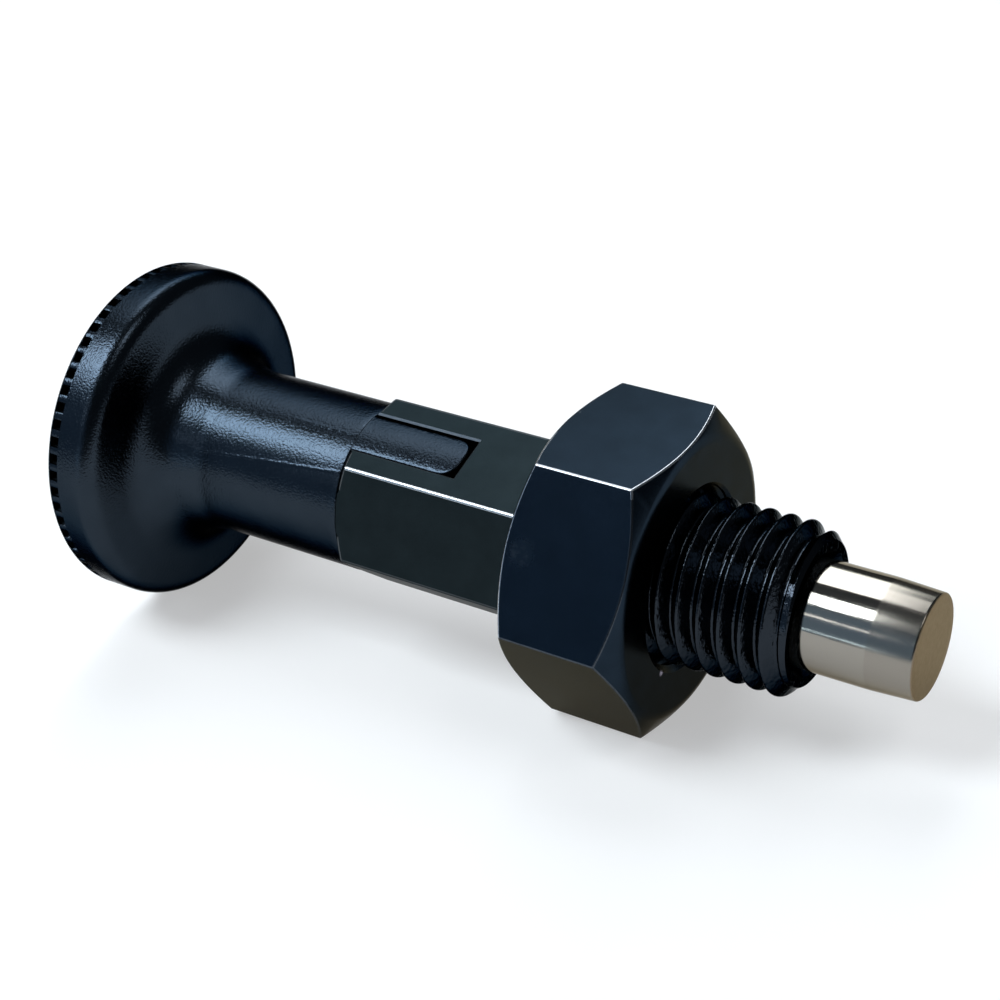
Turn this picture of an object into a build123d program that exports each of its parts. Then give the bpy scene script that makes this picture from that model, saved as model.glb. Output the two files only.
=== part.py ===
"""Indexing plunger with a rest position.

A spring-loaded locking pin slides in a threaded guide body. Its knob has two lugs that drop into
open slots across the rear of the body's hexagon. Pulled until the lugs leave the slots and turned,
the knob rests on the hexagon's end and holds the pin back.

The frame: the plunger's axis is X, +X points out of the pin's nose, +Z is the normal of the lock
nut's top flat, and the origin lies on the axis at the shoulder where the hexagon meets the thread.
All sizes are in millimetres.
"""

import os
from math import pi, radians, sqrt, tan

from build123d import *

# --- guide body: hexagon, threaded stud and bores ---
thread_diameter = 9.85  # over the crests of an M10 x 1.25 thread
thread_depth = 0.77  # crest to root
stud_length = 15.4  # from the shoulder to the stud's end face
relief_width = 1.2  # undercut where the thread meets the shoulder
body_across_flats = 10.25
body_hex_length = 13.1
hex_chamfer_angle = 30  # of the corners of the body and of the nut
body_face_radius = 5.15  # where the corner chamfer of the hexagon's rear end starts
step_wall = 1.5  # material between the slots' floor and the spring chamber
bore_countersink = 0.45  # at the mouth of the stud

# --- slots and lugs of the rest position ---
slot_roll = 16.3  # the slots' turn about the axis, against the nut's top flat
slot_width = 3.0
slot_depth = 7.2  # along the axis, from the hexagon's rear end
lug_side_gap = 0.09  # each side of a lug in its slot
lug_end_gap = 0.2  # ahead of a lug, at the slot's floor
lug_corner_radius = 0.85

# --- locking pin ---
pin_diameter = 6.25
pin_stand_out = 6.6  # how far the nose stands out of the stud
nose_length = 2.6  # tapered end of the nose
nose_end_diameter = 6.0
nose_edge = 0.15
stem_diameter = 4.0
stem_edge = 0.3
pin_running_gap = 0.04  # radial, pin in its bore
stem_running_gap = 0.06  # radial, stem in the body's rear bore

# --- knob ---
knob_diameter = 21.3
knob_thickness = 3.2  # from the serrated edge to the underside, at the rim
knob_crown = 0.5  # rise of the domed back
knob_neck_diameter = 10.3
knob_length = 17.5  # from the serrated edge to the end of the neck
rim_edge = 0.4  # bevel between the rim and the domed back, wider than the serrations are deep
shoulder_radius = 1.5  # rounding between the rim and the hollow underside
serration_count = 62
serration_length = 0.6
serration_depth = 0.35
neck_seat_gap = 0.05  # between the neck's end and the hexagon
tail_cover = 2.0  # plastic behind the pin's tail
tail_fit_gap = 0.01  # radial, pin's tail in the knob
tail_groove_count = 3
tail_groove_width = 1.0
tail_groove_depth = 0.3
tail_groove_pitch = 3.0

# --- spring ---
wire_diameter = 0.7
spring_stem_gap = 0.2  # radial, between the stem and the coil
spring_seat_gap = 0.02  # at each ground end
spring_turns = 8
spring_rest_length = 14.0  # with the pin out

# --- lock nut ---
nut_across_flats = 16.8
nut_height = 7.75
nut_face_diameter = 16.2  # where the corner chamfer starts
nut_thread_gap = 0.05  # radial, plain bore over the thread crests
nut_countersink = 0.55
nut_seat_gap = 0.05  # between the nut and the hexagon's shoulder

# --- worked out from the sizes above ---
thread_radius = thread_diameter / 2
root_radius = thread_radius - thread_depth
body_rear_x = -body_hex_length
slot_floor_x = body_rear_x + slot_depth
chamber_rear_x = slot_floor_x + step_wall
pin_shoulder_x = chamber_rear_x + spring_rest_length
pin_radius = pin_diameter / 2
pin_bore_radius = pin_radius + pin_running_gap
pin_tip_x = stud_length + pin_stand_out
nose_start_x = pin_tip_x - nose_length
stem_radius = stem_diameter / 2
stem_bore_radius = stem_radius + stem_running_gap
neck_end_x = body_rear_x - neck_seat_gap
knob_back_x = neck_end_x - knob_length
knob_radius = knob_diameter / 2
neck_radius = knob_neck_diameter / 2
underside_x = knob_back_x + knob_thickness
shoulder_x = underside_x - shoulder_radius
flare_radius = knob_radius - shoulder_radius - neck_radius  # one hollow from the shoulder to the neck
neck_start_x = underside_x + flare_radius
tail_end_x = knob_back_x + tail_cover
lug_width = slot_width - 2 * lug_side_gap
lug_end_x = slot_floor_x - lug_end_gap
nut_rear_x = nut_seat_gap
nut_front_x = nut_rear_x + nut_height

# the slots' plane: local X along the plunger's axis, its normal out of the slotted flat
slot_plane = Plane.XY.rotated((slot_roll, 0, 0))


def turned_ends(rear_x, front_x, face_radius, across_flats):
    """The turned blank that a hexagon's corners are trimmed to: a bar with a cone at each end."""
    reach = across_flats / sqrt(3) + 0.5
    cone = (reach - face_radius) * tan(radians(hex_chamfer_angle))
    with BuildPart() as blank:
        with BuildSketch(Plane.XZ):
            with BuildLine():
                Polyline(
                    (rear_x, 0),
                    (rear_x, face_radius),
                    (rear_x + cone, reach),
                    (front_x - cone, reach),
                    (front_x, face_radius),
                    (front_x, 0),
                    close=True,
                )
            make_face()
        revolve(axis=Axis.X)
    return blank.part


def tail_points(gap):
    """Corners of the half section of the pin's grooved tail: the pin's own, or grown by a gap, the knob's cavity."""
    outer = stem_radius + gap
    inner = outer - tail_groove_depth
    points = [(neck_end_x, 0), (neck_end_x, outer)]
    for i in reversed(range(tail_groove_count)):
        groove_rear_x = tail_end_x + tail_groove_pitch * (i + 0.5) + gap
        groove_front_x = groove_rear_x + tail_groove_width - 2 * gap
        points += [
            (groove_front_x, outer),
            (groove_front_x, inner),
            (groove_rear_x, inner),
            (groove_rear_x, outer),
        ]
    points += [
        (tail_end_x - gap + stem_edge, outer),
        (tail_end_x - gap, outer - stem_edge),
        (tail_end_x - gap, 0),
    ]
    return points


# --- guide body ---
with BuildPart() as guide_body:
    with BuildSketch(Plane.YZ.offset(body_rear_x)):
        RegularPolygon(body_across_flats / 2, 6, major_radius=False, rotation=slot_roll)
    extrude(amount=body_hex_length)
    add(turned_ends(body_rear_x, 0, body_face_radius, body_across_flats), mode=Mode.INTERSECT)
    with BuildSketch(Plane.XZ):
        with BuildLine():
            Polyline(
                (0, 0),
                (0, root_radius),
                (relief_width - thread_depth, root_radius),
                (relief_width, thread_radius),
                (stud_length - thread_depth, thread_radius),
                (stud_length, root_radius),
                (stud_length, 0),
                close=True,
            )
        make_face()
    revolve(axis=Axis.X)
    with Locations(Plane.YZ.offset(stud_length)):
        CounterBoreHole(
            radius=stem_bore_radius,
            counter_bore_radius=pin_bore_radius,
            counter_bore_depth=stud_length - chamber_rear_x,
        )
    mouth = guide_body.edges().filter_by(GeomType.CIRCLE).group_by(Axis.X)[-1]
    chamfer(mouth.sort_by(SortBy.RADIUS)[0], bore_countersink)
    with BuildSketch(slot_plane):
        with Locations((body_rear_x, 0)):
            Rectangle(2 * slot_depth, slot_width)
    extrude(amount=body_across_flats, both=True, mode=Mode.SUBTRACT)
guide_body.part.label = "guide_body"

# --- plunger pin: nose, guided shank, stem and grooved tail ---
with BuildPart() as plunger_pin:
    with BuildSketch(Plane.XZ):
        with BuildLine():
            Polyline(
                (neck_end_x, 0),
                (neck_end_x, stem_radius),
                (pin_shoulder_x, stem_radius),
                (pin_shoulder_x, pin_radius - nose_edge),
                (pin_shoulder_x + nose_edge, pin_radius),
                (nose_start_x, pin_radius),
                (pin_tip_x - nose_edge, nose_end_diameter / 2),
                (pin_tip_x, nose_end_diameter / 2 - nose_edge),
                (pin_tip_x, 0),
                close=True,
            )
        make_face()
        with BuildLine():
            Polyline(*tail_points(0), close=True)
        make_face()
    revolve(axis=Axis.X)
plunger_pin.part.label = "plunger_pin"

# --- knob: the two lugs first, then the mushroom they grow from ---
with BuildPart() as lugs:
    with BuildSketch(slot_plane):
        with Locations((neck_end_x, 0)):
            RectangleRounded(2 * (lug_end_x - neck_end_x), lug_width, lug_corner_radius)
    extrude(amount=knob_neck_diameter, both=True)
    with BuildSketch(Plane.YZ.offset(neck_end_x)):
        Circle(neck_radius)
    extrude(amount=slot_depth, mode=Mode.INTERSECT)

with BuildPart() as knob:
    with BuildSketch(Plane.XZ):
        with BuildLine():
            TangentArc(
                (knob_back_x - knob_crown, 0),
                (knob_back_x, knob_radius - rim_edge),
                tangent=(0, 1),
            )
            Polyline(
                (knob_back_x, knob_radius - rim_edge),
                (knob_back_x + rim_edge, knob_radius),
                (shoulder_x, knob_radius),
            )
            CenterArc((shoulder_x, knob_radius - shoulder_radius), shoulder_radius, 0, 90)
            CenterArc((neck_start_x, neck_radius + flare_radius), flare_radius, 180, 90)
            Polyline(
                (neck_start_x, neck_radius),
                (neck_end_x, neck_radius),
                (neck_end_x, 0),
                (knob_back_x - knob_crown, 0),
            )
        make_face()
    revolve(axis=Axis.X)
    with BuildSketch(Plane.YZ.offset(knob_back_x - knob_crown)):
        with PolarLocations(knob_radius, serration_count):
            Rectangle(2 * serration_depth, pi * knob_radius / serration_count)
    extrude(amount=knob_crown + serration_length, mode=Mode.SUBTRACT)
    add(lugs.part)
    with BuildSketch(Plane.YZ.offset(neck_end_x)):
        Circle(stem_radius + tail_fit_gap)
    extrude(amount=slot_depth, mode=Mode.SUBTRACT)
    with BuildSketch(Plane.XZ):
        with BuildLine():
            Polyline(*tail_points(tail_fit_gap), close=True)
        make_face()
    revolve(axis=Axis.X, mode=Mode.SUBTRACT)
knob.part.label = "knob"

# --- compression spring between the body's step and the pin's shoulder ---
coil_radius = stem_radius + spring_stem_gap + wire_diameter / 2
spring_rear_x = chamber_rear_x + spring_seat_gap
spring_length = spring_rest_length - 2 * spring_seat_gap
with BuildPart() as spring:
    with BuildLine():
        coil = Helix(
            pitch=spring_length / spring_turns,
            height=spring_length,
            radius=coil_radius,
            center=(spring_rear_x, 0, 0),
            direction=(1, 0, 0),
        )
    with BuildSketch(Plane(origin=coil @ 0, z_dir=coil % 0)):
        Circle(wire_diameter / 2)
    sweep(path=coil, is_frenet=True)
    with BuildSketch(Plane.YZ.offset(spring_rear_x)):
        Circle(pin_bore_radius)
    extrude(amount=spring_length, mode=Mode.INTERSECT)
spring.part.label = "spring"

# --- lock nut ---
with BuildPart() as lock_nut:
    with BuildSketch(Plane.YZ.offset(nut_rear_x)):
        RegularPolygon(nut_across_flats / 2, 6, major_radius=False)
    extrude(amount=nut_height)
    add(turned_ends(nut_rear_x, nut_front_x, nut_face_diameter / 2, nut_across_flats), mode=Mode.INTERSECT)
    with Locations(Plane.YZ.offset(nut_front_x)):
        Hole(thread_radius + nut_thread_gap)
    chamfer(lock_nut.edges().filter_by(GeomType.CIRCLE).group_by(SortBy.RADIUS)[0], nut_countersink)
lock_nut.part.label = "lock_nut"

os.makedirs("parts", exist_ok=True)
for piece in (guide_body, plunger_pin, knob, spring, lock_nut):
    export_step(piece.part, f"parts/{piece.part.label}.step")
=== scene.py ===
"""The looks of an indexing plunger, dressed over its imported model.

The axis is X, with +X out of the pin's nose, and the origin lies at the shoulder where the hexagon
meets the thread. Lengths are in metres, written in millimetres through mm.
"""

from math import atan2, cos, degrees, exp, pi, radians, sin, sqrt, tan

import bmesh
import bpy
from mathutils import Matrix, Vector


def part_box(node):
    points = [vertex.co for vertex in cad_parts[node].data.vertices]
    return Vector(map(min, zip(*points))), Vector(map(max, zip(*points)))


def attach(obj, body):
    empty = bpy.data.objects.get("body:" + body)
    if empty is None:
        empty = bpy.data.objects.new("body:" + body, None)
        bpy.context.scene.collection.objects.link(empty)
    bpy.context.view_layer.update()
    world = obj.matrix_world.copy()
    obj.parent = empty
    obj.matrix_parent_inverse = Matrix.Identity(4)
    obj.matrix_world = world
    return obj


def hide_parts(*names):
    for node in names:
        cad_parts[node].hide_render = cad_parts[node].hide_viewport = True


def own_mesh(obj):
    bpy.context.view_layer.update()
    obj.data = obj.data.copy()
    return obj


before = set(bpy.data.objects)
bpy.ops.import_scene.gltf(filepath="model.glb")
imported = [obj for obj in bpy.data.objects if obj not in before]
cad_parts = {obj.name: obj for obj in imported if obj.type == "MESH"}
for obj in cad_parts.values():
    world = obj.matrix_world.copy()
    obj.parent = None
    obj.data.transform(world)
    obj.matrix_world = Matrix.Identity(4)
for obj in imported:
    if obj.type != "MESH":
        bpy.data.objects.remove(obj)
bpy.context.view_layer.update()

# ---------------------------------------------------------------- sizes
mm = 0.001
hair = 1e-7  # edges shorter than this are dropped
weld_distance = 2e-7  # vertices closer than this become one
cutter_reach = 0.5 * mm  # how far a cutter passes the face that it opens
blank_reach = 1 * mm  # spare length of a blank or a cutter at its rear
slack = 0.01 * mm  # allowance where a point is asked on which side of a face it lies

nut_low, nut_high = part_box("lock_nut")
body_low, body_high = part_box("guide_body")
knob_low, knob_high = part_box("knob")
spring_low, spring_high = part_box("spring")

# lock nut
nut_across_flats = nut_high.z - nut_low.z
nut_face_radius = 8.1 * mm  # where the corner chamfer starts
nut_bore_radius = 4.975 * mm  # clear of the stud's crests
nut_groove_depth = 0.4 * mm
nut_countersink = 0.55 * mm
nut_corner_edge = 0.08 * mm  # bevel along the corners
nut_face_round = 0.3 * mm  # round between the flat faces and the corner chamfers

# guide body
body_across_flats = 10.25 * mm
body_face_radius = 5.15 * mm
body_corner_from = 5.32 * mm  # the hexagon's corners lie outside this radius
body_corner_edge = 0.13 * mm  # bevel along the corners
slot_roll = radians(16.3)  # the slots' turn about the axis
slot_width = 3.0 * mm
slot_depth = 7.2 * mm
slot_edge = 0.11 * mm  # chamfer along the slots' edges
step_wall = 1.5 * mm
body_rear = body_low.x
stud_end = body_high.x
slot_floor = body_rear + slot_depth
chamber_rear = slot_floor + step_wall
stud_root = 0.4 * mm  # how far the stud goes into the hexagon
bore_countersink = 0.45 * mm
relief_width = 1.2 * mm
corner_chamfer = radians(30)

# thread, right-handed
thread_pitch = 1.25 * mm
thread_crest = 4.925 * mm
thread_depth = 0.77 * mm
thread_root = thread_crest - thread_depth
crest_round = 0.14 * mm
thread_start = 1.16 * mm  # where a crest lies along X on the +Y side

# locking pin
pin_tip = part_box("plunger_pin")[1].x
pin_radius = 3.125 * mm
pin_bore_radius = 3.165 * mm
nose_length = 2.6 * mm
nose_radius = 3.0 * mm
nose_edge = 0.15 * mm
nose_step = 0.015 * mm  # drop in radius where the nose starts
nose_step_half = 0.15 * mm  # half the length of that drop
end_face_radius = nose_radius - 0.6 * mm
stem_radius = 2.0 * mm
stem_bore_radius = 2.06 * mm
pin_shoulder = spring_high.x + 0.02 * mm
stem_gap = 0.01 * mm  # between the stem's end and the knob's neck, and round the tail's bore

# knob
knob_radius = (knob_high.z - knob_low.z) / 2
knob_crown = 0.5 * mm
knob_back = knob_low.x + knob_crown
neck_radius = 5.15 * mm
neck_end = body_rear - 0.05 * mm
neck_edge = 0.1 * mm
tail_bore_radius = stem_radius + stem_gap
tail_bore_depth = 6 * mm
lug_end = knob_high.x
lug_width = 2.82 * mm
lug_corner = 1.1 * mm
lug_radius = neck_radius - 0.025 * mm
lug_inner_radius = stem_radius + 0.03 * mm
lug_edge = 0.09 * mm
lug_root = 1 * mm  # how far a lug goes into the neck
rim_edge = 0.18 * mm  # round at the rim's rear
rim_band = 2.15 * mm  # from the back to where the shoulder's round starts
shoulder_radius = 1.15 * mm
underside_cone = radians(6)  # between the underside and a plane across the axis
flare_cone = radians(13)  # between the flare and the axis
flare_round = 2.7 * mm  # fillet between the underside and the flare
neck_start = knob_back + 7.15 * mm  # where the flare has come down to the neck
serrations = 62
serration_length = 0.6 * mm
serration_depth = 0.35 * mm
notch_rear = knob_back + rim_edge + 0.01 * mm  # a thin web closes the serrations behind

# spring
wire_radius = 0.35 * mm
spring_turns = 8
coil_radius = stem_radius + 0.2 * mm + wire_radius

# ---------------------------------------------------------------- meshes
MAIN, WORN = 0, 1  # face tags, kept as material indices until a mesh is done
edge_angle = radians(22)  # a bend sharper than this is an edge that can be rounded


def skin(bm, rows, closed=True):
    """Quads between rows of vertices, each row going round the axis when closed."""
    for row, following in zip(rows, rows[1:]):
        count = len(row)
        for i in range(count if closed else count - 1):
            j = (i + 1) % count
            corners = []
            for vert in (row[i], row[j], following[j], following[i]):
                if vert not in corners:
                    corners.append(vert)
            if len(corners) > 2:
                bm.faces.new(corners)


def around(x, radius, angle):
    """A point at an angle about the axis, counted from +Y towards +Z."""
    return Vector((x, radius * cos(angle), radius * sin(angle)))


def turned(outline, columns):
    """A closed body of revolution from (x, radius) points that start and end on the axis."""
    bm = bmesh.new()
    rows = []
    for x, radius in outline:
        if radius <= 0:
            rows.append([bm.verts.new((x, 0, 0))] * columns)
        else:
            rows.append([bm.verts.new(around(x, radius, 2 * pi * i / columns)) for i in range(columns)])
    skin(bm, rows)
    bmesh.ops.recalc_face_normals(bm, faces=bm.faces)
    return bm


def arc(centre, radius_x, radius_r, start, end, steps):
    """Points of an elliptical arc in the (x, radius) plane, angles in degrees from +X towards the outside."""
    points = []
    for i in range(steps + 1):
        angle = radians(start + (end - start) * i / steps)
        points.append((centre[0] + radius_x * cos(angle), centre[1] + radius_r * sin(angle)))
    return points


def straight(start, end, steps):
    """Points along a straight run in the (x, radius) plane."""
    return [
        (start[0] + (end[0] - start[0]) * i / steps, start[1] + (end[1] - start[1]) * i / steps)
        for i in range(steps + 1)
    ]


def made(name, bm):
    """A new object from a bmesh."""
    mesh = bpy.data.meshes.new(name)
    bm.to_mesh(mesh)
    bm.free()
    piece = bpy.data.objects.new(name, mesh)
    bpy.context.scene.collection.objects.link(piece)
    for _ in (MAIN, WORN):
        mesh.materials.append(None)
    return piece


def carve(piece, tool, operation):
    """Applies a Boolean of one object on another and removes the tool."""
    modifier = piece.modifiers.new("carve", "BOOLEAN")
    modifier.operation = operation
    modifier.solver = "EXACT"
    modifier.object = tool
    bpy.context.view_layer.update()
    evaluated = piece.evaluated_get(bpy.context.evaluated_depsgraph_get())
    result = bpy.data.meshes.new_from_object(evaluated)
    piece.modifiers.clear()
    piece.data = result
    bpy.data.objects.remove(tool)


def dress(piece, material, body, node, sharp=38, wear_and_highlight=lambda point: 1.0):
    """Smooth shading with sharp edges, the worn-edge mask with its painted highlights, and the piece's place
    in the frame.

    sharp is the bend in degrees from which an edge stays sharp, and the last argument gives how brightly an
    edge has worn at a point; where edges are made brightest on their lit side, that is a painted highlight.
    """
    bm = bmesh.new()
    bm.from_mesh(piece.data)
    bmesh.ops.dissolve_degenerate(bm, dist=hair, edges=bm.edges)
    worn = bm.loops.layers.float.new("edge_wear_and_highlight")
    for face in bm.faces:
        face.smooth = True
        share = wear_and_highlight(face.calc_center_median()) if face.material_index == WORN else 0.0
        for loop in face.loops:
            loop[worn] = share
        face.material_index = MAIN
    for edge in bm.edges:
        edge.smooth = edge.calc_face_angle(0) < radians(sharp)
    bm.to_mesh(piece.data)
    bm.free()
    piece.data.materials.clear()
    piece.data.materials.append(material)
    normals = piece.modifiers.new("face_weighted_normals", "WEIGHTED_NORMAL")
    normals.keep_sharp = True
    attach(piece, body)
    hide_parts(node)


def thread_half():
    """(distance along the axis from a crest, depth under it) over half a pitch, by rounded crest and root."""
    flank = 60  # degrees between the flank and the axis
    rounds = (thread_pitch / 2 - thread_depth / tan(radians(flank))) / (
        sin(radians(flank)) - cos(radians(flank)) / tan(radians(flank))
    )
    root_round = rounds - crest_round
    steps = 4
    crest = []
    root = []
    for i in range(steps + 1):
        angle = radians(flank * i / steps)
        crest.append((crest_round * sin(angle), crest_round * (1 - cos(angle))))
        root.append(
            (
                thread_pitch / 2 - root_round * sin(angle),
                thread_depth - root_round * (1 - cos(angle)),
            )
        )
    return crest + root[::-1]


def threaded(x_rear, x_front, crest, limit, columns=180):
    """A closed rod with the thread cut in it. limit(x, radius) trims the radius at its ends."""
    half = thread_half()
    one_pitch = [(-x, depth) for x, depth in reversed(half[1:-1])] + half
    bm = bmesh.new()
    spare_turns = 3
    first = int((x_rear - thread_start) / thread_pitch) - spare_turns
    last = int((x_front - thread_start) / thread_pitch) + spare_turns
    rows = []
    for turn in range(first, last):
        for along, depth in one_pitch:
            row = []
            for i in range(columns):
                x = thread_start + (turn + i / columns) * thread_pitch + along
                x = min(max(x, x_rear), x_front)
                row.append(bm.verts.new(around(x, limit(x, crest - depth), 2 * pi * i / columns)))
            rows.append(row)
    per_turn = len(one_pitch)
    for k in range(len(rows) - 1 - per_turn):
        row, following = rows[k], rows[k + 1]
        for i in range(columns):
            if i + 1 < columns:
                corners = (row[i], row[i + 1], following[i + 1], following[i])
            else:
                corners = (row[i], rows[k + per_turn][0], rows[k + 1 + per_turn][0], following[i])
            bm.faces.new(corners)
    bmesh.ops.remove_doubles(bm, verts=bm.verts, dist=weld_distance)
    bmesh.ops.dissolve_degenerate(bm, dist=hair, edges=bm.edges)
    loose = [vert for vert in bm.verts if not vert.link_faces]
    bmesh.ops.delete(bm, geom=loose, context="VERTS")
    for x in (x_rear, x_front):
        rim = [edge for edge in bm.edges if edge.is_boundary and abs(edge.verts[0].co.x - x) < 10 * hair]
        bmesh.ops.contextual_create(bm, geom=rim)
    bmesh.ops.recalc_face_normals(bm, faces=bm.faces)
    return bm


def hexagon(x_rear, x_front, across_flats, face_radius, roll):
    """A hexagonal bar whose corners are trimmed to a cone at both ends."""
    bm = bmesh.new()
    corner = across_flats / sqrt(3)
    rows = []
    for x in (x_rear - blank_reach, x_front + blank_reach):
        rows.append([bm.verts.new(around(x, corner, roll + radians(60 * i))) for i in range(6)])
    skin(bm, rows)
    bm.faces.new(rows[0])
    bm.faces.new(rows[1])
    bmesh.ops.recalc_face_normals(bm, faces=bm.faces)
    bar = made("bar", bm)
    reach = corner + cutter_reach
    cone = (reach - face_radius) * tan(corner_chamfer)
    outline = [
        (x_rear, 0),
        (x_rear, face_radius),
        (x_rear + cone, reach),
        (x_front - cone, reach),
        (x_front, face_radius),
        (x_front, 0),
    ]
    carve(bar, made("blank", turned(outline, columns=144)), "INTERSECT")
    return bar


def round_edges(piece, chosen, width, tag=WORN, segments=3):
    """Rounds the edges whose two ends are chosen."""
    bm = bmesh.new()
    bm.from_mesh(piece.data)
    edges = []
    for edge in bm.edges:
        if edge.calc_face_angle(0) > edge_angle and all(chosen(vert.co) for vert in edge.verts):
            edges.append(edge)
    rounded = bmesh.ops.bevel(
        bm,
        geom=edges,
        offset=width,
        segments=segments,
        profile=0.5,
        affect="EDGES",
        clamp_overlap=False,
    )
    for face in rounded["faces"]:
        face.material_index = tag
    bm.to_mesh(piece.data)
    bm.free()


def slot_tool():
    """The cutter of the two slots, flared at the flats so that it leaves a chamfer on their edges."""
    half = slot_width / 2
    lip = body_across_flats / 2 - slot_edge
    flare = slot_edge + cutter_reach
    bm = bmesh.new()
    corners = []
    for side, height in ((1, -1), (1, 1), (-1, 1), (-1, -1)):
        inner = (side * half, height * lip, slot_floor)
        outer = (side * (half + flare), height * (lip + flare), slot_floor + flare)
        corners.append((inner, outer))
    turn = Matrix.Rotation(slot_roll, 3, "X")

    def placed(x, across, up):
        """A vertex of the cutter, turned with the slots."""
        return bm.verts.new(turn @ Vector((x, across, up)))

    front = [[placed(x, y, z) for y, z, x in pair] for pair in corners]
    rear = [[placed(body_rear - blank_reach, y, z) for y, z, x in pair] for pair in corners]
    # each corner's inner and outer point, at the front and then at the rear
    (a, a2), (b, b2), (c, c2), (d, d2) = front
    (e, e2), (f, f2), (g, g2), (h, h2) = rear
    walls = (
        (a, b, c, d),
        (b, f, e, a),
        (d, h, g, c),
        (b2, f2, g2, c2),
        (a2, e2, h2, d2),
        (e, f, f2, g2, g, h, h2, e2),
    )
    chamfers = (
        (b, b2, c2, c),
        (a, a2, d2, d),
        (b, f, f2, b2),
        (c, g, g2, c2),
        (a, e, e2, a2),
        (d, h, h2, d2),
    )
    for face in walls:
        bm.faces.new(face)
    for face in chamfers:
        bm.faces.new(face).material_index = WORN
    bmesh.ops.recalc_face_normals(bm, faces=bm.faces)
    return made("slot_tool", bm)


# ---------------------------------------------------------------- shader node groups
def new_group(name, inputs, outputs):
    """A shader node group with float or colour sockets, and its input and output nodes."""
    tree = bpy.data.node_groups.new(name, "ShaderNodeTree")
    for label, kind, value in inputs:
        socket = tree.interface.new_socket(label, in_out="INPUT", socket_type=kind)
        socket.default_value = value
    for label, kind in outputs:
        tree.interface.new_socket(label, in_out="OUTPUT", socket_type=kind)
    return tree, tree.nodes.new("NodeGroupInput"), tree.nodes.new("NodeGroupOutput")


def noise(tree, size, detail=3.0, roughness=0.55, stretch=None):
    """A noise texture on object coordinates.

    size is the grain's width in metres, or a link to it in mm, and detail a number or a link.
    """
    place = tree.nodes.new("ShaderNodeTexCoord").outputs["Object"]
    if stretch:
        scaled = tree.nodes.new("ShaderNodeVectorMath")
        scaled.operation = "MULTIPLY"
        scaled.inputs[1].default_value = stretch
        tree.links.new(place, scaled.inputs[0])
        place = scaled.outputs[0]
    texture = tree.nodes.new("ShaderNodeTexNoise")
    if isinstance(detail, float):
        texture.inputs["Detail"].default_value = detail
    else:
        tree.links.new(detail, texture.inputs["Detail"])
    texture.inputs["Roughness"].default_value = roughness
    tree.links.new(place, texture.inputs["Vector"])
    if isinstance(size, float):
        texture.inputs["Scale"].default_value = 1 / size
    else:
        scale = math_node(tree, "DIVIDE", 1 / mm, size)
        tree.links.new(scale, texture.inputs["Scale"])
    return texture.outputs["Fac"]


def math_node(tree, operation, first, second=0.0, third=0.0):
    """A Math node on links or plain numbers."""
    node = tree.nodes.new("ShaderNodeMath")
    node.operation = operation
    for socket, value in zip(node.inputs, (first, second, third)):
        if isinstance(value, (int, float)):
            socket.default_value = value
        else:
            tree.links.new(value, socket)
    return node.outputs[0]


def between(tree, value, low, high, from_value=0.0, to_value=1.0):
    """A smooth step of a value between two limits."""
    node = tree.nodes.new("ShaderNodeMapRange")
    node.interpolation_type = "SMOOTHSTEP"
    tree.links.new(value, node.inputs["Value"])
    for label, setting in (
        ("From Min", low),
        ("From Max", high),
        ("To Min", from_value),
        ("To Max", to_value),
    ):
        if isinstance(setting, (int, float)):
            node.inputs[label].default_value = setting
        else:
            tree.links.new(setting, node.inputs[label])
    return node.outputs["Result"]


def grain_group():
    """Fine surface relief, as of a moulded or blasted skin, with a slow swell under it."""
    tree, given, result = new_group(
        "Surface grain",
        [
            ("Grain mm", "NodeSocketFloat", 0.1),
            ("Swell mm", "NodeSocketFloat", 2.0),
            ("Octaves", "NodeSocketFloat", 4.0),
        ],
        [("Height", "NodeSocketFloat"), ("Swell", "NodeSocketFloat")],
    )
    fine = noise(tree, given.outputs["Grain mm"], given.outputs["Octaves"])
    slow = noise(tree, given.outputs["Swell mm"], 2.0)
    tree.links.new(fine, result.inputs["Height"])
    tree.links.new(slow, result.inputs["Swell"])
    return tree


def wear_group():
    """Where edges have lost their black finish, made brightest where painted highlights are wanted: the
    mesh's edge mask, broken up by noise.
    """
    tree, given, result = new_group(
        "Worn edges",
        [("Break up mm", "NodeSocketFloat", 0.2), ("Amount", "NodeSocketFloat", 0.5)],
        [("Mask", "NodeSocketFloat")],
    )
    edge = tree.nodes.new("ShaderNodeAttribute")
    edge.attribute_name = "edge_wear_and_highlight"
    patches = noise(tree, given.outputs["Break up mm"], 3.0)
    level_none, level_all = 0.75, 0.15  # the noise's level where wear starts, at amounts 0 and 1
    border = 0.12  # from there to fully worn
    lowered = math_node(tree, "MULTIPLY", given.outputs["Amount"], level_none - level_all)
    low = math_node(tree, "SUBTRACT", level_none, lowered)
    broken = between(tree, patches, low, math_node(tree, "ADD", low, border))
    tree.links.new(math_node(tree, "MULTIPLY", edge.outputs["Fac"], broken), result.inputs["Mask"])
    return tree


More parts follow.
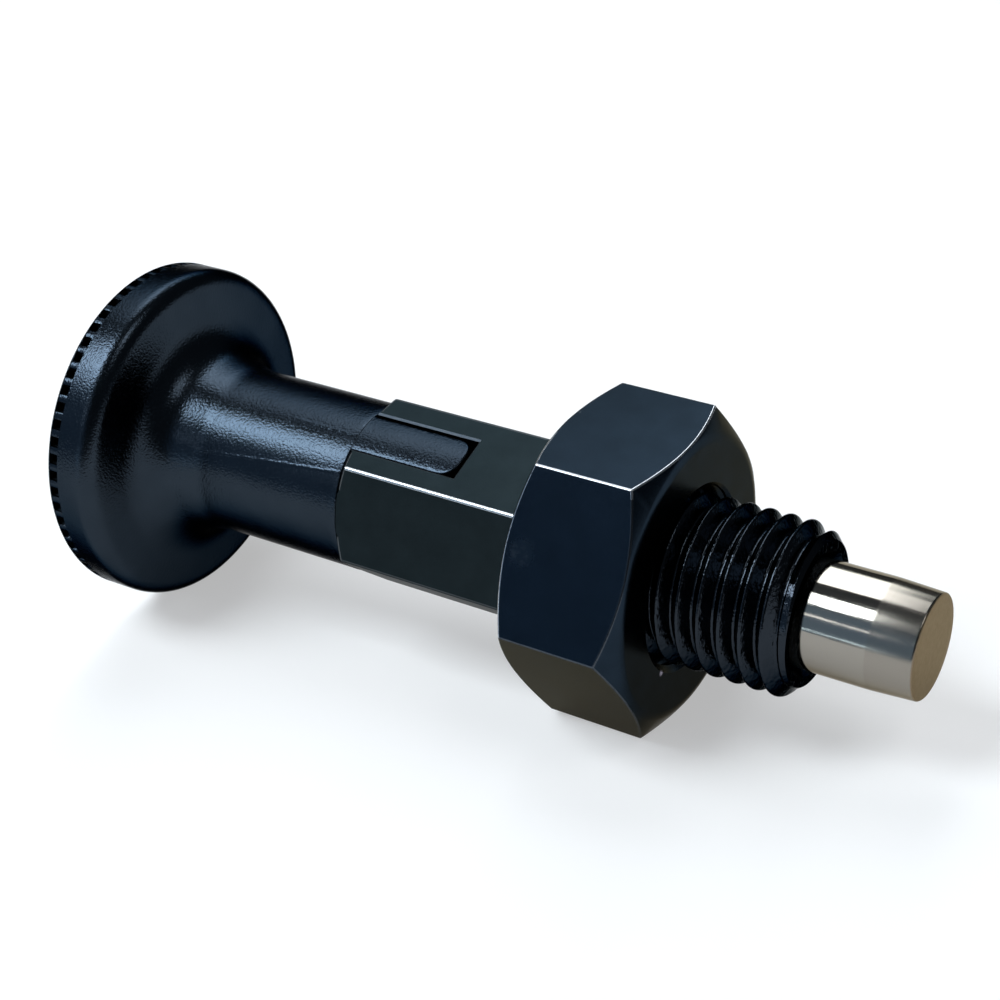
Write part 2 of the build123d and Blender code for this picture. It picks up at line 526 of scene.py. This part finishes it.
def specks_group():
    """Small bright specks of dust or metal scattered over a surface."""
    tree, given, result = new_group(
        "Specks",
        [
            ("Spacing mm", "NodeSocketFloat", 1.5),
            ("Speck mm", "NodeSocketFloat", 0.05),
            ("Share", "NodeSocketFloat", 0.3),
        ],
        [("Mask", "NodeSocketFloat")],
    )
    place = tree.nodes.new("ShaderNodeTexCoord")
    cells = tree.nodes.new("ShaderNodeTexVoronoi")
    tree.links.new(place.outputs["Object"], cells.inputs["Vector"])
    tree.links.new(math_node(tree, "DIVIDE", 1 / mm, given.outputs["Spacing mm"]), cells.inputs["Scale"])
    radius = math_node(tree, "DIVIDE", given.outputs["Speck mm"], given.outputs["Spacing mm"])
    core = math_node(tree, "MULTIPLY", radius, 0.4)
    dot = between(tree, cells.outputs["Distance"], core, radius, 1.0, 0.0)
    chosen = math_node(tree, "LESS_THAN", split_red(tree, cells.outputs["Color"]), given.outputs["Share"])
    tree.links.new(math_node(tree, "MULTIPLY", dot, chosen), result.inputs["Mask"])
    return tree


def split_red(tree, colour):
    """The red channel of a colour."""
    node = tree.nodes.new("ShaderNodeSeparateColor")
    tree.links.new(colour, node.inputs[0])
    return node.outputs[0]


surface_grain = grain_group()
worn_and_highlit_edges = wear_group()
specks = specks_group()


# ---------------------------------------------------------------- materials
class Finish:
    """A material with its Principled shader, and short ways to place groups and mixes in it."""

    def __init__(self, name, colour, **sockets):
        self.material = bpy.data.materials.new(name)
        self.material.use_nodes = True
        self.tree = self.material.node_tree
        self.shader = self.tree.nodes["Principled BSDF"]
        self.shader.inputs["Base Color"].default_value = (*colour, 1)
        for label, value in sockets.items():
            self.shader.inputs[label.replace("_", " ")].default_value = value

    def group(self, tree, **values):
        """Places a shared node group with its own values, and gives its outputs."""
        node = self.tree.nodes.new("ShaderNodeGroup")
        node.node_tree = tree
        for label, value in values.items():
            node.inputs[label.replace("_", " ")].default_value = value
        return node.outputs

    def mix_colour(self, mask, first, second):
        """first where the mask is 0 and second where it is 1, each a colour or a link."""
        node = self.tree.nodes.new("ShaderNodeMix")
        node.data_type = "RGBA"
        inputs = [socket for socket in node.inputs if socket.enabled]
        for socket, value in zip(inputs, (mask, first, second)):
            if isinstance(value, tuple):
                socket.default_value = (*value, 1)
            elif isinstance(value, (int, float)):
                socket.default_value = value
            else:
                self.tree.links.new(value, socket)
        return [socket for socket in node.outputs if socket.enabled][0]

    def along(self, start, end):
        """0 before start and 1 past end along the plunger's axis, in the piece's own coordinates."""
        place = self.tree.nodes.new("ShaderNodeTexCoord")
        split = self.tree.nodes.new("ShaderNodeSeparateXYZ")
        self.tree.links.new(place.outputs["Object"], split.inputs[0])
        return between(self.tree, split.outputs["X"], start, end)

    def near(self, place, radius):
        """1 at a place on the piece, fading to 0 at a radius."""
        here = self.tree.nodes.new("ShaderNodeTexCoord")
        away = self.tree.nodes.new("ShaderNodeVectorMath")
        away.operation = "DISTANCE"
        away.inputs[1].default_value = place
        self.tree.links.new(here.outputs["Object"], away.inputs[0])
        return between(self.tree, away.outputs["Value"], 0.3 * radius, radius, 1.0, 0.0)

    def number(self, operation, first, second=0.0, third=0.0):
        """A Math node in this material."""
        return math_node(self.tree, operation, first, second, third)

    def feed(self, label, source):
        """Links an output to one of the shader's sockets."""
        self.tree.links.new(source, self.shader.inputs[label])

    def bump(self, height, distance, under=None):
        """A normal that a height disturbs by a distance, over another bump's normal if one is given."""
        node = self.tree.nodes.new("ShaderNodeBump")
        node.inputs["Strength"].default_value = 1.0
        node.inputs["Distance"].default_value = distance
        self.tree.links.new(height, node.inputs["Height"])
        if under:
            self.tree.links.new(under, node.inputs["Normal"])
        return node.outputs["Normal"]


def black_metal(name, colour, grazing, worn_colour, roughness, amount):
    """Blackened steel: a dark metallic skin with brighter edges, specks and slow blotches.

    grazing tints the skin's reflection at grazing angles, and amount is the share of the edges that
    has lost its black. The finish comes back with its grain, its colour and its roughness.
    """
    blotch = 0.2  # how far the blotches stray from the colour
    speck_share = 0.3  # how bright a speck is beside a worn edge
    grain_share = 0.12  # how far the grain changes the roughness
    finish = Finish(name, colour, Metallic=1.0, Specular_Tint=(*grazing, 1))
    grain = finish.group(surface_grain, Grain_mm=0.09, Swell_mm=1.6)
    wear_and_highlight = finish.group(worn_and_highlit_edges, Break_up_mm=0.12, Amount=amount)
    dots = finish.group(specks, Spacing_mm=1.7, Speck_mm=0.06, Share=0.35)
    darker = tuple(value * (1 - blotch) for value in colour)
    lighter = tuple(value * (1 + blotch) for value in colour)
    blotched = finish.mix_colour(grain["Swell"], darker, lighter)
    bright = finish.number("MAXIMUM", wear_and_highlight["Mask"], finish.number("MULTIPLY", dots["Mask"], speck_share))
    skin_colour = finish.mix_colour(bright, blotched, worn_colour)
    rough = finish.number("MULTIPLY_ADD", grain["Height"], grain_share, roughness - grain_share / 2)
    return finish, grain, skin_colour, rough


def blackened_body():
    """The guide body's finish: satin flats, and a glossier thread that oil has darkened."""
    finish, grain, skin_colour, rough = black_metal(
        "blackened_steel",
        colour=(0.0115, 0.0170, 0.0195),
        grazing=(0.28, 0.29, 0.29),
        worn_colour=(0.42, 0.44, 0.46),
        roughness=0.3,
        amount=0.95,
    )
    oiled = (0.022, 0.027, 0.034)
    oil_gloss = 0.16  # how much smoother the thread is than the flats
    thread = finish.along(0.1 * mm, 0.3 * mm)  # from the shoulder forwards
    finish.feed("Base Color", finish.mix_colour(thread, skin_colour, oiled))
    finish.feed("Roughness", finish.number("MULTIPLY_ADD", thread, -oil_gloss, rough))
    lumps = finish.number("MULTIPLY", noise(finish.tree, 0.3 * mm, detail=2.0), thread)
    lumpy = finish.bump(lumps, 0.04 * mm)
    finish.feed("Normal", finish.bump(grain["Height"], 0.004 * mm, under=lumpy))
    return finish.material


def blackened_lock_nut():
    """The nut's finish: smoother and bluer than the body's, with a scuff and a painted glint."""
    finish, grain, skin_colour, rough = black_metal(
        "blackened_nut",
        colour=(0.014, 0.023, 0.035),
        grazing=(0.50, 0.47, 0.41),
        worn_colour=(0.55, 0.57, 0.6),
        roughness=0.24,
        amount=0.74,
    )
    scuff_place = Vector((1.3, -7.36, 4.25)) * mm  # on the flat that faces -Y and up
    scuff_colour = (0.40, 0.42, 0.44)
    scuff_share = 0.05  # how much of that colour the scuff takes
    scuff_roughness = 0.08
    # a painted glint: a small lilac highlight on the edge of the front countersink
    glint_place = Vector((7.9, -3.87, -4.0)) * mm  # on the edge of the front countersink
    painted_glint_colour = (0.45, 0.43, 0.55)
    patches = between(finish.tree, noise(finish.tree, 0.5 * mm), 0.45, 0.7, 0.0, scuff_share)
    scuff = finish.near(scuff_place, 1.1 * mm)
    scuffed = finish.mix_colour(finish.number("MULTIPLY", scuff, patches), skin_colour, scuff_colour)
    painted_glint = finish.near(glint_place, 0.3 * mm)
    finish.feed("Base Color", finish.mix_colour(painted_glint, scuffed, painted_glint_colour))
    finish.feed("Roughness", finish.number("MULTIPLY_ADD", scuff, scuff_roughness, rough))
    finish.feed("Normal", finish.bump(grain["Height"], 0.002 * mm))
    return finish.material


def moulded_black():
    """Black moulded plastic with a fine sparkling grain, dull in the serrations and darkened there by painted
    shade.

    It is written as a very dark metallic skin, so that its gloss stays low at grazing angles.
    """
    finish = Finish("black_plastic", (0.022, 0.03, 0.04), Metallic=1.0, Specular_Tint=(0.25, 0.25, 0.25, 1))
    grain = finish.group(surface_grain, Grain_mm=0.14, Swell_mm=2.5, Octaves=1.5)
    dots = finish.group(specks, Spacing_mm=2.2, Speck_mm=0.06, Share=0.25)
    recess_shade_and_dullness = finish.tree.nodes.new("ShaderNodeAttribute")
    recess_shade_and_dullness.attribute_name = "recess_shade_and_dullness"
    darker, lighter = (0.018, 0.025, 0.034), (0.026, 0.035, 0.046)
    dust = (0.16, 0.17, 0.18)
    # painted shade: near-black colour in the serrations' recesses
    shade = (0.001, 0.001, 0.001)
    smooth, grain_share = 0.11, 0.2  # the least roughness, and what the grain adds to it
    tone = finish.mix_colour(grain["Swell"], darker, lighter)
    dusty = finish.mix_colour(dots["Mask"], tone, dust)
    finish.feed("Base Color", finish.mix_colour(recess_shade_and_dullness.outputs["Fac"], dusty, shade))
    rough = finish.number("MULTIPLY_ADD", grain["Height"], grain_share, smooth)
    finish.feed("Roughness", finish.number("MAXIMUM", rough, recess_shade_and_dullness.outputs["Fac"]))
    finish.feed("Normal", finish.bump(grain["Height"], 0.022 * mm))
    return finish.material


def ground_stainless():
    """Polished stainless steel with lengthwise streaks, a duller nose darkened by painted shade, and a faced
    end whose brown colour is a painted reflection.
    """
    # the end face's brown colour is a painted reflection
    # the nose's colour is a little darker than the shank's, as painted shade
    shank_colour, nose_shaded_colour, end_reflection_colour = (0.27, 0.252, 0.222), (0.25, 0.23, 0.20), (0.19, 0.145, 0.095)
    streak_rough, nose_rough, end_rough = 0.2, 0.08, 0.14  # what each adds to the roughness
    nose_start = pin_tip - nose_length
    nose_blend = 0.06 * mm
    finish = Finish("stainless_pin", shank_colour, Metallic=1.0, Specular_Tint=(0.62, 0.57, 0.48, 1))
    streaks = noise(finish.tree, 0.3 * mm, 4.0, 0.6, stretch=(0.05, 1.0, 1.0))
    rings = noise(finish.tree, 0.12 * mm, 2.0, 0.6, stretch=(1.0, 0.03, 0.03))
    nose = finish.along(nose_start - nose_blend, nose_start + nose_blend)
    end = finish.along(pin_tip - 0.12 * mm, pin_tip - 0.02 * mm)
    metal = finish.mix_colour(nose, shank_colour, nose_shaded_colour)
    finish.feed("Base Color", finish.mix_colour(end, metal, end_reflection_colour))
    polished = finish.number("MULTIPLY_ADD", streaks, streak_rough, 0.0)
    rough = finish.number("MULTIPLY_ADD", nose, nose_rough, polished)
    finish.feed("Roughness", finish.number("MULTIPLY_ADD", end, end_rough, rough))
    lengthwise = finish.bump(streaks, 0.005 * mm)
    finish.feed("Normal", finish.bump(rings, 0.0008 * mm, under=lengthwise))
    return finish.material


def drawn_wire():
    """Bright spring wire with fine drawing marks."""
    finish = Finish("spring_wire", (0.6, 0.6, 0.6), Metallic=1.0, Roughness=0.28)
    grain = finish.group(surface_grain, Grain_mm=0.06, Swell_mm=0.8)
    finish.feed("Roughness", finish.number("MULTIPLY_ADD", grain["Height"], 0.2, 0.2))
    finish.feed("Normal", finish.bump(grain["Height"], 0.003 * mm))
    return finish.material


blackened_steel = blackened_body()
blackened_nut = blackened_lock_nut()
black_plastic = moulded_black()
stainless_pin = ground_stainless()
spring_wire = drawn_wire()


# ---------------------------------------------------------------- guide body
def stud_limit(x, radius):
    """Trims the thread to its end chamfer and to the relief at the shoulder."""
    relief = thread_root + max(0.0, x - (relief_width - thread_depth))
    end = thread_root + stud_end - x
    return min(radius, relief, end)


body_piece = hexagon(body_rear, 0.0, body_across_flats, body_face_radius, slot_roll)
body_piece.name = "threaded_guide"
carve(body_piece, made("stud", threaded(-stud_root, stud_end, thread_crest, stud_limit)), "UNION")
bore = [
    (body_rear - blank_reach, 0),
    (body_rear - blank_reach, stem_bore_radius),
    (chamber_rear, stem_bore_radius),
    (chamber_rear, pin_bore_radius),
    (stud_end - bore_countersink, pin_bore_radius),
    (stud_end + cutter_reach, pin_bore_radius + bore_countersink + cutter_reach),
    (stud_end + cutter_reach, 0),
]
carve(body_piece, made("bore", turned(bore, columns=120)), "DIFFERENCE")
carve(body_piece, slot_tool(), "DIFFERENCE")


def from_axis(point):
    """A point's distance from the axis."""
    return Vector((point.y, point.z)).length


def on_hexagon_corner(point):
    """True near the hexagon's six corners, away from the slots and the thread."""
    return point.x < slack and from_axis(point) > body_corner_from and not in_slot(point)


def in_slot(point):
    """True between a slot's walls and on its chamfers, at any place along the axis."""
    across = point.y * cos(slot_roll) + point.z * sin(slot_roll)
    return abs(across) < slot_width / 2 + 2 * slot_edge


# how brightly edges have worn: the brightest, where light catches them, are partly painted highlight
highlit_worn_corner = slot_roll + radians(120)
rear_rim = 0.6 * mm  # how far the rear end's edges reach along the axis
brightest_wear_and_highlight, slot_wear_and_highlight, rear_wear, faint_wear = 1.0, 0.7, 0.2, 0.1


def body_wear_and_highlight(point):
    """How brightly an edge of the hexagon has worn: one corner most, then the slots, then the end. The bright
    corner and slot edges are partly painted highlight, where light catches them.
    """
    if in_slot(point):
        return slot_wear_and_highlight
    if point.x < body_rear + rear_rim:
        return rear_wear
    away = abs(atan2(point.z, point.y) - highlit_worn_corner)
    return brightest_wear_and_highlight if away < radians(5) else faint_wear


round_edges(body_piece, on_hexagon_corner, body_corner_edge)
dress(body_piece, blackened_steel, "body", "guide_body", wear_and_highlight=body_wear_and_highlight)


# ---------------------------------------------------------------- lock nut
def nut_limit(x, radius):
    """Keeps the nut's thread inside its bore and opens it to the countersinks."""
    rear_sink = nut_bore_radius + nut_countersink - (x - nut_low.x)
    front_sink = nut_bore_radius + nut_countersink - (nut_high.x - x)
    return max(radius, nut_bore_radius, rear_sink, front_sink)


nut_piece = hexagon(nut_low.x, nut_high.x, nut_across_flats, nut_face_radius, 0.0)
nut_piece.name = "hexagon_lock_nut"
nut_hole = threaded(
    nut_low.x - cutter_reach,
    nut_high.x + cutter_reach,
    nut_bore_radius + nut_groove_depth,
    nut_limit,
    columns=144,
)
carve(nut_piece, made("nut_hole", nut_hole), "DIFFERENCE")
circle_margin = 0.02 * mm


def on_nut_face_circle(point):
    """True on the two circles where the flat faces meet the corner chamfers."""
    return abs(from_axis(point) - nut_face_radius) < circle_margin


def on_nut_corner(point):
    """True outside the two face circles."""
    return from_axis(point) > nut_face_radius + circle_margin


# the nut's edges worn brightest over the top and at the near corner are partly painted highlight
nut_rim = 1.6 * mm  # how far the chamfered rim reaches along the axis
corner_wear_and_highlight, hardly_worn = 0.75, 0.08


def nut_wear_and_highlight(point):
    """How brightly the nut's edge has worn: both rims most over the top, then the upper near corner. These
    brightest edges are partly painted highlight, where light catches them.
    """
    angle = degrees(atan2(point.z, point.y))
    if point.x > nut_high.x - nut_rim and 50 < angle < 119:
        return brightest_wear_and_highlight
    if 117 < angle < 123:
        return corner_wear_and_highlight
    if point.x < nut_low.x + nut_rim and angle > 100:
        return brightest_wear_and_highlight
    return hardly_worn


round_edges(nut_piece, on_nut_corner, nut_corner_edge)
round_edges(nut_piece, on_nut_face_circle, nut_face_round, tag=MAIN, segments=6)
dress(nut_piece, blackened_nut, "nut", "lock_nut", wear_and_highlight=nut_wear_and_highlight)

# ---------------------------------------------------------------- locking pin
pin_outline = [
    (neck_end + stem_gap, 0),
    (neck_end + stem_gap, stem_radius),
    (pin_shoulder, stem_radius),
    (pin_shoulder, pin_radius - nose_edge),
    (pin_shoulder + nose_edge, pin_radius),
    (pin_tip - nose_length - nose_step_half, pin_radius),
    (pin_tip - nose_length + nose_step_half, pin_radius - nose_step),
]
pin_outline += arc((pin_tip - nose_edge, nose_radius - nose_edge), nose_edge, nose_edge, 90, 0, 6)
pin_outline += [(pin_tip, end_face_radius), (pin_tip, 0)]
pin_piece = made("polished_pin", turned(pin_outline, columns=192))
dress(pin_piece, stainless_pin, "plunger", "plunger_pin", sharp=30)

# ---------------------------------------------------------------- knob
steps_per_serration = 10
knob_columns = serrations * steps_per_serration
gap_half = 0.31  # half a gap's width at the teeth's tops, as a share of a serration
gap_flank = 0.1  # width of a gap's sloping side, as such a share
recess_from = 0.6  # a point this far down a serration's depth lies in its recess

# the mould lines along the neck, and the bead near the start of the slanted one
slanted_start = -23.7 * mm
slanted_angle = radians(151.5)
slanted_turn = radians(1.18) / mm
slanted_height = 0.03 * mm
slanted_width = radians(0.8)
level_start = -17.6 * mm
level_angle = radians(111.5)
level_height = 0.012 * mm
level_width = radians(0.9)
bead_middle = -23.3 * mm
bead_angle = radians(145.8)
bead_height = 0.06 * mm
bead_length = 0.14 * mm
bead_width = radians(1.8)


def notch(column):
    """How deep a serration is at a column, from 0 on a tooth to 1 in a gap."""
    within = (column % steps_per_serration) / steps_per_serration
    away = min(within, 1 - within)
    return min(1.0, max(0.0, (gap_half - away) / gap_flank))


def ridge(away, width):
    """The share of a soft ridge's height at a distance from its middle."""
    return exp(-((away / width) ** 2))


def mould_lines(x, angle):
    """Height of the two thin mould lines and of the bead, at a place on the neck."""
    height = bead_height * ridge(x - bead_middle, bead_length) * ridge(angle - bead_angle, bead_width)
    if x > slanted_start:
        slanted = slanted_angle - slanted_turn * (x - slanted_start)
        height += slanted_height * ridge(angle - slanted, slanted_width)
    if x > level_start:
        height += level_height * ridge(angle - level_angle, level_width)
    return height


def knob_outline():
    """(x, radius) from the middle of the domed back, over the rim and the neck, to the tail's bore."""
    crown_shares = (0.0, 0.08, 0.2, 0.35, 0.5, 0.65, 0.78, 0.88, 0.94)  # of the way out to the rim
    band_shares = (0.0, 0.02, 0.5, 0.98, 1.0, 1.4, 1.8)  # of a serration's length, steep at its two ends
    rim_start = knob_radius - rim_edge
    outline = []
    for share in crown_shares:
        outline.append((knob_back - knob_crown * (1 - share * share), rim_start * share))
    outline += arc((knob_back + rim_edge, rim_start), rim_edge, rim_edge, 180, 90, 4)
    for share in band_shares:
        outline.append((notch_rear + share * serration_length, knob_radius))
    # the fillet's centre, from the directions square to the underside and to the flare
    shoulder_centre = (knob_back + rim_band, knob_radius - shoulder_radius)
    under = (cos(underside_cone), sin(underside_cone))
    beside = (sin(flare_cone), cos(flare_cone))
    along_under = shoulder_centre[0] * under[0] + shoulder_centre[1] * under[1]
    reach_under = along_under + shoulder_radius + flare_round
    reach_beside = neck_start * beside[0] + neck_radius * beside[1] + flare_round
    spread = under[0] * beside[1] - under[1] * beside[0]
    flare_centre = (
        (reach_under * beside[1] - reach_beside * under[1]) / spread,
        (reach_beside * under[0] - reach_under * beside[0]) / spread,
    )
    under_angle = degrees(underside_cone)
    beside_angle = 90 - degrees(flare_cone)
    shoulder = arc(shoulder_centre, shoulder_radius, shoulder_radius, 90, under_angle, 10)
    corner = arc(flare_centre, flare_round, flare_round, 180 + under_angle, 180 + beside_angle, 10)
    outline += shoulder + straight(shoulder[-1], corner[0], 4)[1:-1] + corner
    outline += straight(corner[-1], (neck_start, neck_radius), 4)[1:]
    outline += straight((neck_start, neck_radius), (neck_end - neck_edge, neck_radius), 24)[1:-1]
    outline += arc((neck_end - neck_edge, neck_radius - neck_edge), neck_edge, neck_edge, 90, 0, 3)
    bore_floor = neck_end - tail_bore_depth
    outline += [(neck_end, tail_bore_radius), (bore_floor, tail_bore_radius), (bore_floor, 0)]
    return outline


def knob_moulding():
    """The mushroom and neck in one skin, with the serrations cut in its rear edge."""
    bm = bmesh.new()
    rows = []
    for x, radius in knob_outline():
        if radius <= 0:
            rows.append([bm.verts.new((x, 0, 0))] * knob_columns)
            continue
        row = []
        for column in range(knob_columns):
            angle = 2 * pi * column / knob_columns
            out = radius
            if notch_rear + slack < x < notch_rear + serration_length - slack:
                out -= serration_depth * notch(column)
            if abs(radius - neck_radius) < 10 * hair:
                out += mould_lines(x, angle)
            row.append(bm.verts.new(around(x, out, angle)))
        rows.append(row)
    skin(bm, rows)
    bmesh.ops.recalc_face_normals(bm, faces=bm.faces)
    return bm


def mark_recesses(piece):
    """Writes the mask of painted shade and dullness: 1 in the serrations' recesses, 0 elsewhere."""
    mask = piece.data.attributes.new("recess_shade_and_dullness", "FLOAT", "POINT")
    for vert, value in zip(piece.data.vertices, mask.data):
        beside = notch_rear < vert.co.x < notch_rear + serration_length
        low = from_axis(vert.co) < knob_radius - recess_from * serration_depth
        value.value = float(beside and low)


def lug_bar(turn):
    """One lug as a closed bar rooted in the neck, rounded at its free corners and along its edges."""
    root = neck_end - lug_root
    half = lug_width / 2
    across_steps, along_steps, corner_steps, edge_steps = 16, 14, 9, 3
    shares = [1 - 2 * i / across_steps for i in range(across_steps + 1)]

    def stations(inset):
        """(x, half width) from the root to the free end, shrunk by an inset."""
        corner_x = lug_end - lug_corner
        reach = lug_corner - inset
        found = straight((root, half - inset), (corner_x, half - inset), along_steps)
        for i in range(1, corner_steps + 1):
            angle = pi / 2 * i / corner_steps
            found.append((corner_x + reach * sin(angle), half - lug_corner + reach * cos(angle)))
        return found

    def grid(inset, radius):
        """Rows of points across the lug at one radius."""
        rows = []
        for x, width in stations(inset):
            row = []
            for share in shares:
                across = width * share
                point = Vector((x, across, sqrt(radius * radius - across * across)))
                row.append(Matrix.Rotation(turn, 3, "X") @ point)
            rows.append(row)
        return rows

    def edge_of(rows):
        """The points round a grid's two sides and its free end."""
        return [row[0] for row in rows] + rows[-1][1:-1] + [row[-1] for row in reversed(rows)]

    bm = bmesh.new()
    top = [[bm.verts.new(point) for point in row] for row in grid(lug_edge, lug_radius)]
    bottom = [[bm.verts.new(point) for point in row] for row in grid(0.0, lug_inner_radius)]
    skin(bm, top, closed=False)
    skin(bm, bottom, closed=False)
    layers = [edge_of(top)]
    for step in range(1, edge_steps + 1):
        angle = pi / 2 * step / edge_steps
        rows = grid(lug_edge * (1 - sin(angle)), lug_radius - lug_edge * (1 - cos(angle)))
        layers.append([bm.verts.new(point) for point in edge_of(rows)])
    layers.append(edge_of(bottom))
    skin(bm, layers, closed=False)
    loop = [layer[0] for layer in layers] + bottom[0][1:-1]
    loop += [layer[-1] for layer in reversed(layers)] + top[0][-2:0:-1]
    bm.faces.new(loop)
    bmesh.ops.recalc_face_normals(bm, faces=bm.faces)
    return bm


knob_piece = made("mushroom_knob", knob_moulding())
for turn in (slot_roll, slot_roll + pi):
    carve(knob_piece, made("lug", lug_bar(turn)), "UNION")
dress(knob_piece, black_plastic, "plunger", "knob", sharp=50)
mark_recesses(knob_piece)


# ---------------------------------------------------------------- spring
def coil_mesh():
    """The spring's wire along its helix, its two ends ground flat."""
    steps = 40 * spring_turns
    ring = 14  # points round the wire
    length = spring_high.x - spring_low.x
    lead = length / (2 * pi * spring_turns * coil_radius)
    bm = bmesh.new()
    rows = []
    for i in range(steps + 1):
        angle = 2 * pi * spring_turns * i / steps
        middle = around(spring_low.x + length * i / steps, coil_radius, angle)
        outward = around(0, 1, angle)
        along = Vector((lead, -sin(angle), cos(angle))).normalized()
        side = along.cross(outward)
        row = []
        for k in range(ring):
            turn = 2 * pi * k / ring
            point = middle + wire_radius * (cos(turn) * outward + sin(turn) * side)
            point.x = min(max(point.x, spring_low.x), spring_high.x)
            row.append(bm.verts.new(point))
        rows.append(row)
    skin(bm, rows)
    bm.faces.new(rows[0])
    bm.faces.new(rows[-1])
    bmesh.ops.recalc_face_normals(bm, faces=bm.faces)
    return bm


spring_piece = made("coil_spring", coil_mesh())
dress(spring_piece, spring_wire, "body", "spring", sharp=60)
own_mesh(spring_piece)

# ---------------------------------------------------------------- floor, light and camera
floor_side = 3.0
floor_gap = 0.03 * mm
floor_glow = 0.45  # share of plain white that the floor shows
nut_corner_inset = 0.17 * mm  # of the nut's lowest point, behind its front face
rest_rear = (knob_back + rim_band, -knob_radius)
rest_front = (nut_high.x - nut_corner_inset, nut_low.z)
floor_tilt = atan2(rest_front[1] - rest_rear[1], rest_front[0] - rest_rear[0])

bpy.ops.mesh.primitive_plane_add(size=floor_side)
floor = bpy.context.object
floor.name = "floor"
floor.rotation_euler = (0, -floor_tilt, 0)
floor.location = (rest_rear[0], 0, rest_rear[1] - floor_gap)


def floor_paper():
    """White paper that keeps the plunger's shadow and looks nearly white itself."""
    finish = Finish("floor_paper", (0.97, 0.97, 0.97), Roughness=0.9, Specular_IOR_Level=0.1)
    tree = finish.tree
    rays = tree.nodes.new("ShaderNodeLightPath").outputs
    seen = finish.number("MAXIMUM", rays["Is Camera Ray"], rays["Is Glossy Ray"])
    seen = finish.number("MAXIMUM", seen, rays["Is Transmission Ray"])
    glow = tree.nodes.new("ShaderNodeEmission")
    mix = tree.nodes.new("ShaderNodeMixShader")
    tree.links.new(finish.number("MULTIPLY", seen, floor_glow), mix.inputs[0])
    tree.links.new(finish.shader.outputs[0], mix.inputs[1])
    tree.links.new(glow.outputs[0], mix.inputs[2])
    tree.links.new(mix.outputs[0], tree.nodes["Material Output"].inputs["Surface"])
    return finish.material


floor.data.materials.append(floor_paper())


def softbox(name, lean, turn, distance, spread, level, tint):
    """An area lamp that faces the plunger.

    lean is its place along X, from -1 behind the knob to 1 ahead of the pin, and turn its angle in
    degrees about the axis from +Y towards +Z. spread gives its width in degrees along and around
    the axis, and level is its share of a level white surface's light.
    """
    across = sqrt(1 - lean * lean)
    aim = Vector((lean, across * cos(radians(turn)), across * sin(radians(turn))))
    along = (Vector((1, 0, 0)) - aim * lean).normalized()
    around_axis = aim.cross(along)
    lamp = bpy.data.lights.new(name, "AREA")
    lamp.shape = "RECTANGLE"
    lamp.size, lamp.size_y = (2 * distance * tan(radians(angle / 2)) for angle in spread)
    lamp.energy = level * pi * pi * distance * distance / aim.z
    lamp.color = tint
    lamp_object = bpy.data.objects.new(name, lamp)
    turned_to_face = Matrix((along, around_axis, aim)).transposed().to_4x4()
    lamp_object.matrix_world = Matrix.Translation(aim * distance) @ turned_to_face
    bpy.context.scene.collection.objects.link(lamp_object)


lamps = (
    # name, lean, turn, distance, spread, level, tint
    ("window_light", -0.477, 114, 0.6, (32, 20), 0.7, (0.88, 0.95, 1.0)),
    ("top_light", -0.4, 62, 0.7, (34, 30), 0.24, (0.92, 0.96, 1.0)),
    ("pin_light", -0.28, 52, 0.7, (9, 50), 0.13, (0.94, 0.97, 1.0)),
    ("back_light", -0.36, 36, 0.7, (24, 24), 0.045, (0.85, 0.94, 1.0)),
    ("overhead_light", 0.43, 92, 0.6, (12, 20), 0.09, (1, 1, 1)),
    ("strip_light", -0.32, 148, 0.6, (20, 1.5), 0.008, (1, 1, 1)),
    ("low_strip_light", -0.32, 177.5, 0.6, (20, 1.5), 0.0006, (0.7, 0.88, 1.0)),
)
for lamp_values in lamps:
    softbox(*lamp_values)


def studio_world(dim, bright, towards, narrow, wide):
    """A dim room that is brighter towards one side. narrow and wide are cosines of the bright side's edge."""
    world = bpy.data.worlds.new("studio")
    bpy.context.scene.world = world
    world.use_nodes = True
    tree = world.node_tree
    direction = tree.nodes.new("ShaderNodeTexCoord")
    facing = tree.nodes.new("ShaderNodeVectorMath")
    facing.operation = "DOT_PRODUCT"
    facing.inputs[1].default_value = Vector(towards).normalized()
    tree.links.new(direction.outputs["Generated"], facing.inputs[0])
    share = between(tree, facing.outputs["Value"], wide, narrow)
    mix = tree.nodes.new("ShaderNodeMix")
    mix.data_type = "RGBA"
    factor, first, second = [socket for socket in mix.inputs if socket.enabled]
    tree.links.new(share, factor)
    first.default_value = (*dim, 1)
    second.default_value = (*bright, 1)
    colour = [socket for socket in mix.outputs if socket.enabled][0]
    tree.links.new(colour, tree.nodes["Background"].inputs["Color"])


studio_world(
    dim=(0.07, 0.08, 0.09),
    bright=(0.23, 0.33, 0.45),
    towards=(-0.5, -0.8, 0.3),
    narrow=0.95,
    wide=0.68,
)

camera_azimuth = radians(34.22)
camera_elevation = radians(32.92)
camera_roll = radians(-4.45)
camera_target = Vector((-4.156, -0.899, 2.294)) * mm
camera_distance = 118 * mm
camera_lens = 73.52

view = Vector(
    (
        sin(camera_azimuth) * cos(camera_elevation),
        -cos(camera_azimuth) * cos(camera_elevation),
        sin(camera_elevation),
    )
)
camera_data = bpy.data.cameras.new("camera")
camera_data.lens = camera_lens
camera_data.clip_start = 0.005
camera = bpy.data.objects.new("camera", camera_data)
camera.location = camera_target + view * camera_distance
camera.rotation_mode = "QUATERNION"
roll = Matrix.Rotation(camera_roll, 3, "Z").to_quaternion()
camera.rotation_quaternion = view.to_track_quat("Z", "Y") @ roll
bpy.context.scene.collection.objects.link(camera)
bpy.context.scene.camera = camera
bpy.context.scene.view_settings.view_transform = "Standard"
